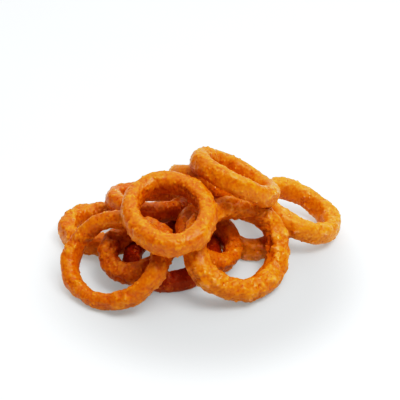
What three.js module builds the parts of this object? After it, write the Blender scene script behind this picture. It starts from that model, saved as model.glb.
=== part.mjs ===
// Onion rings side: a loose pile of twelve battered and fried onion rings.
//
// Millimetres, +Z up. The pile lies on the plane z = 0, with the middle of its box
// on the z axis. Every ring is one closed solid in its own named mesh: a band of
// onion in a thick, bumpy coat, so its wall is an uneven oval that bends round an
// open middle. Each ring is laid down on the floor and on the rings made before it.
import * as THREE from "three";
import { mergeVertices } from "three/addons/utils/BufferGeometryUtils.js";

// ---- Driving dimensions, in millimetres -----------------------------------------

const SEGMENTS_ROUND = 46; // facets round a ring
const SEGMENTS_WALL = 12; // facets round its wall's section
const CONTACT_GAP = 0.3; // left between two rings that touch
const FLOOR_SINK = 0.9; // how far the coat flattens where a ring lies on the floor
const MAP_STEP = 0.5; // spacing of the height map that rings are lowered onto
const MAP_HALF = 150; // half the side of that height map

// How uneven the coat is: the height of its swells and lumps, and their spacing.
const SWELL_HEIGHT = 1;
const SWELL_SPACING = 11;
const LUMP_HEIGHT = 0.55;
const LUMP_SPACING = 5.5;
const WALL_UNEVENNESS = 0.06; // slow change of the wall's thickness, as a share
const OUTLINE_UNEVENNESS = 0.015; // slow change of the ring's radius, as a share
const WARP = 0.8; // how far the ring's middle line leaves one plane
const SQUARE_OUTSIDE = 2.3; // how square the wall's section is: 2 is an ellipse
const SQUARE_INSIDE = 3;
const SEED_STEP = 11; // from one ring's bumps to the next ring's

const CRUST_COLOUR = 0xd07f1f;
const CRUST_ROUGHNESS = 0.6;

const FULL_TURN = 2 * Math.PI;
const radians = THREE.MathUtils.degToRad;

// ---- The rings, from the floor up ------------------------------------------------
//
// x, y           middle of the ring, seen from above
// lean, low      degrees from lying flat, and the direction of the low side:
//                0 is +X and 90 is +Y
// long, short    outer size along and across
// turn           direction of the long side, in degrees
// wall, tall     thickness of the coated wall, outwards and along the ring's axis
// knobs          extra blobs of batter: where round the ring, where round the wall
//                (0 outside, 90 on top, 180 inside), how high and how wide

const RINGS = [
  {
    name: "ring_far_left",
    x: -74, y: 87, lean: 3, low: 30,
    long: 60, short: 56, turn: -30, wall: 13, tall: 16,
    knobs: [
      { round: -145, side: 20, height: 2, width: 4 },
      { round: 120, side: 75, height: 1.5, width: 4 },
      { round: 180, side: 100, height: 1.2, width: 5 },
    ],
  },
  {
    name: "ring_low_middle",
    x: -20, y: 53, lean: 6, low: -70,
    long: 75, short: 65, turn: 45, wall: 13, tall: 14,
  },
  {
    name: "ring_low_right",
    x: 37, y: 92, lean: 2, low: -170,
    long: 72, short: 60, turn: -75, wall: 12, tall: 16,
    knobs: [
      { round: -5, side: 25, height: 1.5, width: 4 },
      { round: 0, side: 90, height: 1.2, width: 4 },
    ],
  },
  {
    name: "ring_far_right",
    x: 72, y: 96, lean: 22, low: 5,
    long: 68, short: 66, turn: -35, wall: 13, tall: 16,
  },
  {
    name: "ring_back_left",
    x: -38, y: 97, lean: 17, low: 70,
    long: 64, short: 62, turn: -25, wall: 12, tall: 15,
  },
  {
    name: "ring_low_left",
    x: -44, y: 39, lean: 20, low: -145,
    long: 58, short: 54, turn: -55, wall: 13, tall: 16,
    knobs: [
      { round: -130, side: 60, height: 1.5, width: 4 },
      { round: -165, side: 100, height: 1.3, width: 4 },
      { round: -35, side: 95, height: 1.2, width: 4 },
    ],
  },
  {
    name: "ring_inner",
    x: 6, y: 52, lean: 31, low: -25,
    long: 57, short: 51, turn: -75, wall: 12, tall: 14,
  },
  {
    name: "ring_back",
    x: 3, y: 97, lean: 42, low: 60,
    long: 60, short: 54, turn: -70, wall: 12, tall: 15,
  },
  {
    name: "ring_front_right",
    x: 26, y: 35, lean: 42, low: -45,
    long: 86, short: 75, turn: 45, wall: 15, tall: 17,
    knobs: [
      { round: -55, side: 20, height: 2.2, width: 4 },
      { round: -155, side: 130, height: 1.5, width: 4 },
      { round: -130, side: 130, height: 1.8, width: 5 },
      { round: -95, side: 100, height: 1.2, width: 6 },
      { round: -70, side: 150, height: 1.5, width: 5 },
    ],
  },
  {
    name: "ring_front_left",
    x: -59, y: 24, lean: 44, low: -130,
    long: 84, short: 69, turn: -20, wall: 11, tall: 14,
    knobs: [
      { round: -90, side: 150, height: 1, width: 3.5 },
      { round: -120, side: 170, height: 1.2, width: 3.5 },
    ],
  },
  {
    name: "ring_top",
    x: 25, y: 73, lean: 32, low: 35,
    long: 69, short: 69, turn: 55, wall: 12, tall: 15,
    knobs: [
      { round: -145, side: 30, height: 1, width: 3 },
    ],
  },
  {
    name: "ring_front_top",
    x: -21, y: 31, lean: 11, low: -105,
    long: 76, short: 64, turn: -70, wall: 13, tall: 16,
    knobs: [
      { round: -65, side: 140, height: 1, width: 3.5 },
      { round: -50, side: 135, height: 1.2, width: 4 },
      { round: 70, side: 15, height: 1, width: 3 },
    ],
  },
];

// ---- Repeatable unevenness -------------------------------------------------------

// A fixed number from 0 to 1 for a corner of the noise lattice.
function latticeValue(x, y, z, seed) {
  let hash = Math.imul(x, 374761393) + Math.imul(y, 668265263);
  hash = (hash + Math.imul(z, 1274126177) + Math.imul(seed, 974711)) | 0;
  hash = Math.imul(hash ^ (hash >>> 13), 1103515245);
  hash = Math.imul(hash ^ (hash >>> 16), 2246822519);
  return ((hash ^ (hash >>> 15)) >>> 0) / 4294967295;
}

// Smooth noise from -1 to 1 at a point, with swells about `spacing` apart.
function smoothNoise(point, spacing, seed) {
  const scaled = point.clone().divideScalar(spacing);
  const corner = scaled.clone().floor();
  const part = scaled.clone().sub(corner);
  const ease = (t) => t * t * (3 - 2 * t);
  let sum = 0;
  for (let i = 0; i < 8; i += 1) {
    const side = [i & 1, (i >> 1) & 1, (i >> 2) & 1];
    const weightX = side[0] ? ease(part.x) : 1 - ease(part.x);
    const weightY = side[1] ? ease(part.y) : 1 - ease(part.y);
    const weightZ = side[2] ? ease(part.z) : 1 - ease(part.z);
    const value = latticeValue(corner.x + side[0], corner.y + side[1], corner.z + side[2], seed);
    sum += value * weightX * weightY * weightZ;
  }
  return 2 * sum - 1;
}

// A slow change from -1 to 1 that closes on itself, of the given waves a turn.
function slowChange(angle, waves, seed) {
  let sum = 0;
  for (const wave of waves) {
    const start = FULL_TURN * latticeValue(wave, 1, 2, seed);
    sum += Math.cos(wave * angle + start);
  }
  return sum / waves.length;
}

// ---- One ring --------------------------------------------------------------------

// How high the coat's bumps stand at a point of the plain oval wall.
function bumpHeight(ring, point, round, aroundWall) {
  let height = SWELL_HEIGHT * smoothNoise(point, SWELL_SPACING, ring.seed);
  height += LUMP_HEIGHT * smoothNoise(point, LUMP_SPACING, ring.seed + 1);
  for (const knob of ring.knobs ?? []) {
    const along = Math.sin((round - radians(knob.round)) / 2) * ring.long;
    const across = Math.sin((aroundWall - radians(knob.side)) / 2) * ring.wall;
    const distance = Math.hypot(along, across) / knob.width;
    height += knob.height * Math.exp(-distance * distance);
  }
  return height;
}

// A sine or cosine bent so that the oval it draws has fuller corners.
function squared(value, square) {
  return Math.sign(value) * Math.abs(value) ** (2 / square);
}

// The point of a ring's surface at an angle round the ring and round its wall.
function ringPoint(ring, round, aroundWall) {
  const halfWall = ring.wall / 2;
  const halfTall = ring.tall / 2;
  const reachLong = ring.long / 2 - halfWall;
  const reachShort = ring.short / 2 - halfWall;
  const stretch = 1 + OUTLINE_UNEVENNESS * slowChange(round, [2, 3, 4], ring.seed + 2);
  const middle = new THREE.Vector3(
    reachLong * stretch * Math.cos(round),
    reachShort * stretch * Math.sin(round),
    WARP * slowChange(round, [2, 3], ring.seed + 3),
  );
  const outward = new THREE.Vector3(Math.cos(round) / reachLong, Math.sin(round) / reachShort, 0);
  outward.normalize();
  const thickness = 1 + WALL_UNEVENNESS * slowChange(round, [1, 2, 3, 5], ring.seed + 4);
  const square = Math.cos(aroundWall) > 0 ? SQUARE_OUTSIDE : SQUARE_INSIDE;
  const surface = middle.clone();
  surface.addScaledVector(outward, halfWall * thickness * squared(Math.cos(aroundWall), square));
  surface.z += halfTall * thickness * squared(Math.sin(aroundWall), square);
  const normal = outward.clone().multiplyScalar(Math.cos(aroundWall) / halfWall);
  normal.z = Math.sin(aroundWall) / halfTall;
  normal.normalize();
  return surface.addScaledVector(normal, bumpHeight(ring, surface, round, aroundWall));
}

// A closed ring in its own frame: its axis is z and its long side lies along x.
function ringGeometry(ring) {
  const plain = new THREE.TorusGeometry(2, 1, SEGMENTS_WALL, SEGMENTS_ROUND);
  plain.deleteAttribute("normal");
  plain.deleteAttribute("uv");
  const geometry = mergeVertices(plain);
  const position = geometry.attributes.position;
  for (let i = 0; i < position.count; i += 1) {
    const round = Math.atan2(position.getY(i), position.getX(i));
    const out = Math.hypot(position.getX(i), position.getY(i)) - 2;
    const aroundWall = Math.atan2(position.getZ(i), out);
    const point = ringPoint(ring, round, aroundWall);
    position.setXYZ(i, point.x, point.y, point.z);
  }
  return geometry;
}

// Turns the ring about its axis, then leans it towards its low side.
function ringAttitude(ring) {
  const low = radians(ring.low);
  const hinge = new THREE.Vector3(-Math.sin(low), Math.cos(low), 0);
  const lean = new THREE.Quaternion().setFromAxisAngle(hinge, radians(ring.lean));
  const turn = new THREE.Quaternion().setFromAxisAngle(new THREE.Vector3(0, 0, 1), radians(ring.turn));
  return lean.multiply(turn);
}

function ringMesh(ring) {
  const material = new THREE.MeshStandardMaterial({
    color: CRUST_COLOUR,
    roughness: CRUST_ROUGHNESS,
    metalness: 0,
  });
  const mesh = new THREE.Mesh(ringGeometry(ring), material);
  mesh.name = ring.name;
  mesh.quaternion.copy(ringAttitude(ring));
  mesh.position.set(ring.x, ring.y, 0);
  return mesh;
}

// ---- Laying the rings down -------------------------------------------------------

const MAP_SIZE = Math.round((2 * MAP_HALF) / MAP_STEP);

// Every corner of a mesh, in the pile's frame.
function placedCorners(mesh) {
  mesh.updateMatrixWorld(true);
  const position = mesh.geometry.attributes.position;
  const corners = [];
  for (let i = 0; i < position.count; i += 1) {
    corners.push(new THREE.Vector3().fromBufferAttribute(position, i).applyMatrix4(mesh.matrixWorld));
  }
  return corners;
}

// Calls visit(cell, height) for each point of the map that a mesh's facets cover.
function scanMesh(mesh, visit) {
  const corners = placedCorners(mesh);
  const index = mesh.geometry.index;
  for (let i = 0; i < index.count; i += 3) {
    const [a, b, c] = [0, 1, 2].map((k) => corners[index.getX(i + k)]);
    const area = (b.x - a.x) * (c.y - a.y) - (c.x - a.x) * (b.y - a.y);
    const firstColumn = Math.ceil((Math.min(a.x, b.x, c.x) + MAP_HALF) / MAP_STEP);
    const lastColumn = Math.floor((Math.max(a.x, b.x, c.x) + MAP_HALF) / MAP_STEP);
    const firstRow = Math.ceil((Math.min(a.y, b.y, c.y) + MAP_HALF) / MAP_STEP);
    const lastRow = Math.floor((Math.max(a.y, b.y, c.y) + MAP_HALF) / MAP_STEP);
    for (let column = firstColumn; column <= lastColumn; column += 1) {
      for (let row = firstRow; row <= lastRow; row += 1) {
        const x = column * MAP_STEP - MAP_HALF;
        const y = row * MAP_STEP - MAP_HALF;
        const shareB = ((x - a.x) * (c.y - a.y) - (c.x - a.x) * (y - a.y)) / area;
        const shareC = ((b.x - a.x) * (y - a.y) - (x - a.x) * (b.y - a.y)) / area;
        if (shareB >= 0 && shareC >= 0 && shareB + shareC <= 1) {
          visit(row * MAP_SIZE + column, a.z + shareB * (b.z - a.z) + shareC * (c.z - a.z));
        }
      }
    }
  }
}

// Lowers a ring until it presses on the floor or comes to a gap above other rings.
function layDown(mesh, pileTop) {
  let height = -Infinity;
  for (const corner of placedCorners(mesh)) {
    height = Math.max(height, -FLOOR_SINK - corner.z);
  }
  scanMesh(mesh, (cell, under) => {
    if (pileTop[cell] > 0) {
      height = Math.max(height, pileTop[cell] + CONTACT_GAP - under);
    }
  });
  mesh.position.z = height;
  scanMesh(mesh, (cell, top) => {
    pileTop[cell] = Math.max(pileTop[cell], top);
  });
}

// Flattens the part of a ring's coat that would reach below the floor.
function flattenOnFloor(mesh) {
  const position = mesh.geometry.attributes.position;
  const corners = placedCorners(mesh);
  for (let i = 0; i < position.count; i += 1) {
    if (corners[i].z < 0) {
      corners[i].z = 0;
      mesh.worldToLocal(corners[i]);
      position.setXYZ(i, corners[i].x, corners[i].y, corners[i].z);
    }
  }
}

function makePile() {
  const pile = new THREE.Group();
  const pileTop = new Float32Array(MAP_SIZE * MAP_SIZE);
  RINGS.forEach((row, index) => {
    const ring = { ...row, seed: SEED_STEP * (index + 1) };
    const mesh = ringMesh(ring);
    layDown(mesh, pileTop);
    flattenOnFloor(mesh);
    pile.add(mesh);
  });
  return pile;
}

// Shifts the rings so that the middle of their box is on the z axis.
function centrePile(pile) {
  const centre = new THREE.Box3().setFromObject(pile, true).getCenter(new THREE.Vector3());
  for (const mesh of pile.children) {
    mesh.position.x -= centre.x;
    mesh.position.y -= centre.y;
  }
}

const pile = makePile();
centrePile(pile);

export default pile;
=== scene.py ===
"""Onion rings side: the crust, light and view of a pile of fried onion rings."""

import math

import bmesh
import bpy
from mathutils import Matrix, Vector, noise
from mathutils.bvhtree import BVHTree


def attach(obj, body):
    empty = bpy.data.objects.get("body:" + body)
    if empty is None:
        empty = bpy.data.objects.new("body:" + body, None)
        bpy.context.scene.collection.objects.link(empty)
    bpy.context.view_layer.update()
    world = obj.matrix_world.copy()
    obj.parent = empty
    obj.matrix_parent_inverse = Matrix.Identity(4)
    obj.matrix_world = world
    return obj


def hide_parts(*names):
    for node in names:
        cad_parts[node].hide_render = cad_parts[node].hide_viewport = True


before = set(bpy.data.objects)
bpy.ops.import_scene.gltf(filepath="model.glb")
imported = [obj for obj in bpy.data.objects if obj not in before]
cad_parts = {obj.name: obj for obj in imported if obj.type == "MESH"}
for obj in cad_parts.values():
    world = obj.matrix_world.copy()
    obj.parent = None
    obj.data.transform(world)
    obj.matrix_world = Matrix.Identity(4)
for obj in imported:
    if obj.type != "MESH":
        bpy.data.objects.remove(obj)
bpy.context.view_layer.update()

# ---- Driving values: metres, degrees and linear colours --------------------------

MM = 0.001
WHITE = (1.0, 1.0, 1.0)
BLACK = (0.0, 0.0, 0.0)

# From a ring's CAD mesh to a smooth surface.
WELD_DISTANCE = 0.001 * MM
JOIN_BEND = 60.0  # the most that two triangles may bend where they become one quad
JOIN_SKEW = 80.0  # the most that its corners may be off square
SURFACE_LEVELS = 3  # how often each quad is split
ROUNDING_LOSS = 0.3 * MM  # about what smoothing takes off the wall, given back

# The crust's relief: how high it stands and how far apart its bumps are.
LUMP_HEIGHT = 0.56 * MM
LUMP_SPACING = 5.2 * MM
SMALLER_LUMPS = 0.5  # of that height and spacing, on top of the large ones
GRAIN_HEIGHT = 0.22 * MM
GRAIN_SPACING = 1.5 * MM
CRUMB_HEIGHT = 0.7 * MM
CRUMB_SPACING = 3.4 * MM
CRUMB_RADIUS = 0.3  # of the crumbs' spacing
CRUMB_SHARE = 0.07  # of the places where a crumb could sit
CRUMB_SPREAD = 37.0  # takes the places far enough apart to be drawn one by one
CRAGGY_SPACING = 16.0 * MM  # between smoother and craggier stretches of a ring
CRAGGY_CONTRAST = 1.0  # how much they differ

# Each ring reads the noise at a place of its own: this way, by its number of steps.
NOISE_WAY = Vector((31.0, 17.0, 23.0))
NOISE_STEP = 10.0 * MM

# Where rings come close their crusts are pressed flat, and TOUCH_GAP stays free
# between them. No crag stands out further than half of WIDEST_ROOM.
TOUCH_GAP = 0.06 * MM
WIDEST_ROOM = 8.0 * MM
FLOOR_GAP = 0.05 * MM

# How pale the crust is, from 0 (brown) to 1 (cream): on its mean surface, and how
# much that changes with its lumps (a painted highlight), hollows (painted shade),
# grain and crumbs.
MEAN_PALENESS = 0.46
LUMP_PAINTED_HIGHLIGHT = 0.31
HOLLOW_PAINTED_SHADE = 0.13
GRAIN_PALENESS = 0.19
CRUMB_PALENESS = 0.35

# How much craggier than the others some rings are.
CRAGGIER = {
    "ring_front_right": 1.8,
    "ring_far_left": 1.8,
    "ring_low_left": 1.7,
    "ring_low_right": 1.6,
    "ring_inner": 1.2,
    "ring_far_right": 1.2,
    "ring_front_left": 1.2,
}

# How much paler (above 0) or browner (below 0) some rings are: partly their own
# browning, and partly painted light and shade, paler where a ring is lit and
# browner where it lies in shade.
BROWNING_AND_PAINTED_LIGHT = {
    "ring_low_middle": -0.5,
    "ring_low_left": -0.19,
    "ring_back_left": -0.22,
    "ring_far_left": -0.12,
    "ring_inner": -0.1,
    "ring_front_left": -0.15,
    "ring_front_top": -0.14,
    "ring_low_right": 0.18,
    "ring_front_right": -0.06,
    "ring_far_right": 0.07,
    "ring_top": -0.07,
}

# The crust's colours, by how pale it is, and what tints them: wide patches, a fine
# mottle and dark specks. Each noise is (scale in one metre, detail).
CRUST_COLOURS = [
    (0.00, (0.48, 0.076, 0.001)),
    (0.40, (0.66, 0.217, 0.001)),
    (0.65, (0.745, 0.290, 0.010)),
    (1.00, (0.89, 0.420, 0.250)),
]
PATCH_NOISE = (95.0, 3.0)
PATCH_TINTS = [(0.30, (0.94, 0.90, 0.84)), (0.62, WHITE)]
MOTTLE_NOISE = (480.0, 2.0)
MOTTLE_TINTS = [(0.36, (0.89, 0.82, 0.66)), (0.60, WHITE)]
SPECK_SPACING = 3.5 * MM
SPECK_EDGE = [(0.10, WHITE), (0.22, BLACK)]  # by the distance from a speck's middle
SPECK_DRAW = [(0.60, BLACK), (0.64, WHITE)]  # which places have a speck
SPECK_TINTS = [(0.0, WHITE), (1.0, (0.72, 0.42, 0.25))]

# The crust's gloss, its finest bumps, the light inside the batter and the oil on it.
GLOSS_NOISE = (240.0, 2.0)
GLOSS_RANGE = (0.3, 0.7)
ROUGHNESS_RANGE = (0.24, 0.5)
BUMP_NOISE = (1500.0, 4.0)
BUMP_STRENGTH = 0.5
BUMP_DEPTH = 0.3 * MM
BATTER_GLOW = 0.15
BATTER_GLOW_COLOURS = (1.0, 0.35, 0.08)
BATTER_GLOW_DEPTH = 1.5 * MM
OIL_SHINE = 0.46
OIL_TINT = (1.0, 0.91, 0.84, 1.0)

# The floor. A painted shadow greys it within the inner radius of its middle and fades
# out by the outer radius, from which it is at its palest. It also glows, a painted
# light that lightens the shadows, less within the painted shadow.
FLOOR_SIZE = 6.0
PAINTED_SHADOW_MIDDLE = (0.005, -0.015, 0.0)
PAINTED_SHADOW_RADIUS = 0.07
PAINTED_SHADOW_END = 0.135
PAINTED_GLOW_IN_SHADOW = 0.24
PAINTED_GLOW_OUTSIDE = 0.3
PAINTED_GLOW_COLOUR = (0.85, 0.97, 1.0, 1.0)
PAINTED_SHADOW_TONES = [(0.0, (0.43, 0.445, 0.455)), (1.0, (0.82, 0.83, 0.84))]
FLOOR_NOISE = (12.0, 2.0)
FLOOR_GRAIN = [(0.3, (0.99, 0.99, 0.99)), (0.7, WHITE)]
FLOOR_ROUGHNESS = 0.9
FLOOR_SHINE = 0.1

# Camera: looks along +Y from above, with a long lens.
VIEW_ELEVATION = 33.0
VIEW_DISTANCE = 0.9
LENS = 116.0
SENSOR = 36.0
AIM = Vector((0.2, -0.8, 52.0)) * MM  # the point in the middle of the image

# Light: a wide soft one above and behind, a smaller one above, in front and to the
# right, a weak one further out in front, and a weak white fill from all round.
FILL_STRENGTH = 0.17
LIGHT_AIM = Vector((0.0, 0.0, 0.03))
LIGHTS = [  # name, place, size, power
    ("overhead", Vector((0.1, 0.6, 1.1)), 2.8, 24.0),
    ("key", Vector((0.35, -0.35, 1.1)), 0.6, 9.3),
    ("front", Vector((0.35, -1.0, 0.8)), 0.8, 0.5),
]

# Tones, as (light in, light out): what is TONE_WHITE or brighter shows white.
TONE_POINTS = [
    (0.02, 0.004),
    (0.05, 0.020),
    (0.10, 0.062),
    (0.20, 0.18),
    (0.45, 0.545),
    (0.65, 0.74),
    (0.90, 0.85),
]
TONE_WHITE = 1.2


# ---- The rings -------------------------------------------------------------------


def clean_copy(node):
    """A copy of a ring's CAD mesh with its facets joined back into quads."""
    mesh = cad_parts[node].data.copy()
    mesh.name = node + "_crust"
    mesh.materials.clear()
    work = bmesh.new()
    work.from_mesh(mesh)
    bmesh.ops.remove_doubles(work, verts=work.verts, dist=WELD_DISTANCE)
    bmesh.ops.join_triangles(
        work,
        faces=work.faces,
        angle_face_threshold=math.radians(JOIN_BEND),
        angle_shape_threshold=math.radians(JOIN_SKEW),
    )
    work.to_mesh(mesh)
    work.free()
    return mesh


def smoothed(mesh, name):
    """The mesh as an object, subdivided for good."""
    ring = bpy.data.objects.new(name, mesh)
    bpy.context.scene.collection.objects.link(ring)
    subdivision = ring.modifiers.new("Finer", "SUBSURF")
    subdivision.levels = SURFACE_LEVELS
    subdivision.render_levels = SURFACE_LEVELS
    evaluated = ring.evaluated_get(bpy.context.evaluated_depsgraph_get())
    fine = bpy.data.meshes.new_from_object(evaluated)
    ring.modifiers.clear()
    ring.data = fine
    fine.name = name
    bpy.data.meshes.remove(mesh)
    return ring


def lump(point):
    """Soft lumps of batter, mostly from -1 to 1."""
    large = noise.noise(point / LUMP_SPACING)
    small = noise.noise(point / (SMALLER_LUMPS * LUMP_SPACING))
    return large + SMALLER_LUMPS * small


def crumb(point):
    """Scattered crumbs: 1 in the middle of a crumb, 0 beside it."""
    distances, places = noise.voronoi(point / CRUMB_SPACING)
    if noise.cell(places[0] * CRUMB_SPREAD) > CRUMB_SHARE:
        return 0.0
    return max(0.0, 1.0 - (distances[0] / CRUMB_RADIUS) ** 2)


def crag(point, craggier):
    """How far the crust stands out at a point, and how pale it is there."""
    high = lump(point)
    grain = noise.noise(point / GRAIN_SPACING)
    bit = crumb(point)
    here = craggier * (1.0 + CRAGGY_CONTRAST * noise.noise(point / CRAGGY_SPACING))
    height = (LUMP_HEIGHT * high + GRAIN_HEIGHT * grain) * here + CRUMB_HEIGHT * bit
    # Paler on the lumps is a painted highlight, browner in the hollows painted shade.
    if high > 0.0:
        shade = LUMP_PAINTED_HIGHLIGHT * high * (1.0 + here) / 2.0
    else:
        shade = HOLLOW_PAINTED_SHADE * high
    shade += GRAIN_PALENESS * grain + CRUMB_PALENESS * bit
    return height, MEAN_PALENESS + shade


def surface(ring):
    """The smooth surface of a ring, for measuring how near the other rings are to it."""
    places = [vertex.co.copy() for vertex in ring.data.vertices]
    faces = [tuple(face.vertices) for face in ring.data.polygons]
    return BVHTree.FromPolygons(places, faces)


def room_beside(place, others):
    """How far a point's crust may stand out: not quite half the way to another ring."""
    nearest = WIDEST_ROOM
    for other in others:
        distance = other.find_nearest(place, nearest)[3]
        if distance is not None:
            nearest = distance
    return (nearest - TOUCH_GAP) / 2.0


def add_crust(ring, index, craggier, browning_and_painted_light, others):
    """Raises the crags of one ring and keeps how pale it is at each point."""
    mesh = ring.data
    shift = NOISE_WAY * (index * NOISE_STEP)
    crust = mesh.attributes.new("crust", "FLOAT", "POINT")
    moved = []
    for vertex in mesh.vertices:
        height, paleness = crag(vertex.co + shift, craggier)
        out = min(height + ROUNDING_LOSS, room_beside(vertex.co, others))
        moved.append(vertex.co + vertex.normal * out)
        # Its paleness holds painted highlights and shade, and the ring's own browning
        # and painted light.
        crust.data[vertex.index].value = paleness + browning_and_painted_light
    for vertex, place in zip(mesh.vertices, moved):
        vertex.co = place
        vertex.co.z = max(vertex.co.z, FLOOR_GAP)
    for face in mesh.polygons:
        face.use_smooth = True


# ---- Materials -------------------------------------------------------------------


def new_material(name):
    """A node material with its Principled shader."""
    material = bpy.data.materials.new(name)
    material.use_nodes = True
    return material, material.node_tree, material.node_tree.nodes["Principled BSDF"]


def noise_node(tree, coordinate, scale, detail):
    """Noise over the object's own coordinates."""
    texture = tree.nodes.new("ShaderNodeTexNoise")
    texture.inputs["Scale"].default_value = scale
    texture.inputs["Detail"].default_value = detail
    tree.links.new(coordinate, texture.inputs["Vector"])
    return texture.outputs["Fac"]


def ramp_node(tree, factor, stops):
    """A colour ramp through (position, colour) stops."""
    ramp = tree.nodes.new("ShaderNodeValToRGB")
    elements = ramp.color_ramp.elements
    while len(elements) < len(stops):
        elements.new(0.5)
    for element, (position, colour) in zip(elements, stops):
        element.position = position
        element.color = (*colour, 1.0)
    tree.links.new(factor, ramp.inputs["Fac"])
    return ramp.outputs["Color"]


def range_node(tree, value, before, after, interpolation="LINEAR"):
    """A value taken from one (low, high) range to another."""
    mapped = tree.nodes.new("ShaderNodeMapRange")
    mapped.interpolation_type = interpolation
    mapped.inputs["From Min"].default_value = before[0]
    mapped.inputs["From Max"].default_value = before[1]
    mapped.inputs["To Min"].default_value = after[0]
    mapped.inputs["To Max"].default_value = after[1]
    tree.links.new(value, mapped.inputs["Value"])
    return mapped.outputs["Result"]


def tinted(tree, colour, tint):
    """A colour multiplied by a tint."""
    mix = tree.nodes.new("ShaderNodeMix")
    mix.data_type = "RGBA"
    mix.blend_type = "MULTIPLY"
    mix.inputs["Factor"].default_value = 1.0
    tree.links.new(colour, mix.inputs["A"])
    tree.links.new(tint, mix.inputs["B"])
    return mix.outputs["Result"]


def speck_mask(tree, coordinate):
    """Small scattered specks: white on a speck, black beside it."""
    cells = tree.nodes.new("ShaderNodeTexVoronoi")
    cells.inputs["Scale"].default_value = 1.0 / SPECK_SPACING
    tree.links.new(coordinate, cells.inputs["Vector"])
    near = ramp_node(tree, cells.outputs["Distance"], SPECK_EDGE)
    chosen = ramp_node(tree, cells.outputs["Color"], SPECK_DRAW)
    return tinted(tree, near, chosen)


def crust_material():
    """Golden-orange fried batter, with painted shade in its hollows and painted
    highlights on its crags.
    """
    material, tree, shader = new_material("fried_crust")
    coordinate = tree.nodes.new("ShaderNodeTexCoord").outputs["Object"]
    crust = tree.nodes.new("ShaderNodeAttribute")
    crust.attribute_name = "crust"
    colour = ramp_node(tree, crust.outputs["Fac"], CRUST_COLOURS)
    patches = ramp_node(tree, noise_node(tree, coordinate, *PATCH_NOISE), PATCH_TINTS)
    mottle = ramp_node(tree, noise_node(tree, coordinate, *MOTTLE_NOISE), MOTTLE_TINTS)
    specks = ramp_node(tree, speck_mask(tree, coordinate), SPECK_TINTS)
    for tint in (patches, mottle, specks):
        colour = tinted(tree, colour, tint)
    tree.links.new(colour, shader.inputs["Base Color"])
    gloss = noise_node(tree, coordinate, *GLOSS_NOISE)
    roughness = range_node(tree, gloss, GLOSS_RANGE, ROUGHNESS_RANGE)
    tree.links.new(roughness, shader.inputs["Roughness"])
    bump = tree.nodes.new("ShaderNodeBump")
    bump.inputs["Strength"].default_value = BUMP_STRENGTH
    bump.inputs["Distance"].default_value = BUMP_DEPTH
    tree.links.new(noise_node(tree, coordinate, *BUMP_NOISE), bump.inputs["Height"])
    tree.links.new(bump.outputs["Normal"], shader.inputs["Normal"])
    shader.inputs["Subsurface Weight"].default_value = BATTER_GLOW
    shader.inputs["Subsurface Radius"].default_value = BATTER_GLOW_COLOURS
    shader.inputs["Subsurface Scale"].default_value = BATTER_GLOW_DEPTH
    shader.inputs["Specular IOR Level"].default_value = OIL_SHINE
    shader.inputs["Specular Tint"].default_value = OIL_TINT
    return material


def floor_material():
    """Plain pale paper, with a painted shadow round the pile and a painted glow."""
    material, tree, shader = new_material("pale_floor_painted_shadow_and_glow")
    coordinate = tree.nodes.new("ShaderNodeTexCoord").outputs["Object"]
    distance = tree.nodes.new("ShaderNodeVectorMath")
    distance.operation = "LENGTH"
    tree.links.new(coordinate, distance.inputs[0])
    # 0 inside the painted shadow, 1 beyond it.
    outward = range_node(
        tree,
        distance.outputs["Value"],
        (PAINTED_SHADOW_RADIUS, PAINTED_SHADOW_END),
        (0.0, 1.0),
        "SMOOTHSTEP",
    )
    tone = ramp_node(tree, outward, PAINTED_SHADOW_TONES)
    grain = ramp_node(tree, noise_node(tree, coordinate, *FLOOR_NOISE), FLOOR_GRAIN)
    tree.links.new(tinted(tree, tone, grain), shader.inputs["Base Color"])
    shader.inputs["Roughness"].default_value = FLOOR_ROUGHNESS
    shader.inputs["Specular IOR Level"].default_value = FLOOR_SHINE
    # A painted glow that lightens the floor's shadows, less within the painted shadow.
    painted_glow = range_node(tree, outward, (0.0, 1.0), (PAINTED_GLOW_IN_SHADOW, PAINTED_GLOW_OUTSIDE))
    tree.links.new(painted_glow, shader.inputs["Emission Strength"])
    shader.inputs["Emission Color"].default_value = PAINTED_GLOW_COLOUR
    return material


# ---- Floor, light and camera -----------------------------------------------------


def make_floor():
    """A wide pale floor under the pile."""
    bpy.ops.mesh.primitive_plane_add(size=FLOOR_SIZE, location=PAINTED_SHADOW_MIDDLE)
    floor = bpy.context.object
    floor.name = "floor"
    floor.data.materials.append(floor_material())


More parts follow.
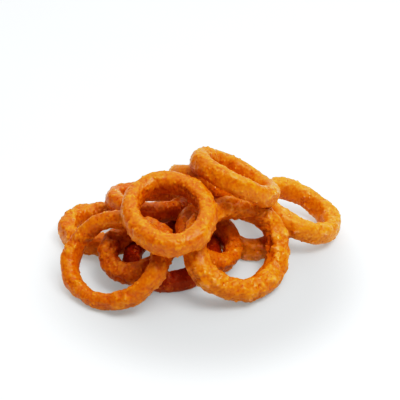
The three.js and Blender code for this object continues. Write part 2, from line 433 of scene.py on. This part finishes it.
def area_light(name, place, size, power):
    """A soft square light at a place, turned to the pile."""
    light = bpy.data.lights.new(name, "AREA")
    light.size = size
    light.energy = power
    lamp = bpy.data.objects.new(name, light)
    lamp.location = place
    lamp.rotation_mode = "QUATERNION"
    lamp.rotation_quaternion = (LIGHT_AIM - place).to_track_quat("-Z", "Y")
    bpy.context.scene.collection.objects.link(lamp)


def make_lights():
    """The studio's soft lights, and its weak white fill."""
    world = bpy.data.worlds.new("studio")
    world.use_nodes = True
    background = world.node_tree.nodes["Background"]
    background.inputs["Color"].default_value = (*WHITE, 1.0)
    background.inputs["Strength"].default_value = FILL_STRENGTH
    bpy.context.scene.world = world
    for name, place, size, power in LIGHTS:
        area_light(name, place, size, power)


def make_camera():
    """The photograph's view: from the front and above, through a long lens."""
    elevation = math.radians(VIEW_ELEVATION)
    back = Vector((0.0, -math.cos(elevation), math.sin(elevation)))
    lens = bpy.data.cameras.new("camera")
    lens.lens = LENS
    lens.sensor_width = SENSOR
    camera = bpy.data.objects.new("camera", lens)
    camera.location = AIM + back * VIEW_DISTANCE
    camera.rotation_mode = "QUATERNION"
    camera.rotation_quaternion = (-back).to_track_quat("-Z", "Y")
    bpy.context.scene.collection.objects.link(camera)
    bpy.context.scene.camera = camera


def set_tones():
    """A photograph's tones: deep shadows, and highlights that fade softly to white."""
    view = bpy.context.scene.view_settings
    view.view_transform = "Standard"
    view.use_curve_mapping = True
    mapping = view.curve_mapping
    mapping.clip_max_x = TONE_WHITE
    combined = mapping.curves[3]  # after those of red, green and blue
    combined.points[1].location = (TONE_WHITE, 1.0)
    for place in TONE_POINTS:
        combined.points.new(*place)
    mapping.update()


def make_rings():
    """Every ring: its finer surface, its crags and its crust."""
    crust = crust_material()
    nodes = sorted(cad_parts)
    rings = [smoothed(clean_copy(node), node + "_fried") for node in nodes]
    surfaces = [surface(ring) for ring in rings]
    for index, (node, ring) in enumerate(zip(nodes, rings)):
        others = surfaces[:index] + surfaces[index + 1:]
        add_crust(ring, index, CRAGGIER.get(node, 1.0), BROWNING_AND_PAINTED_LIGHT.get(node, 0.0), others)
        ring.data.materials.append(crust)
        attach(ring, "root")
        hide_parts(node)


make_camera()
make_rings()
make_floor()
make_lights()
set_tones()
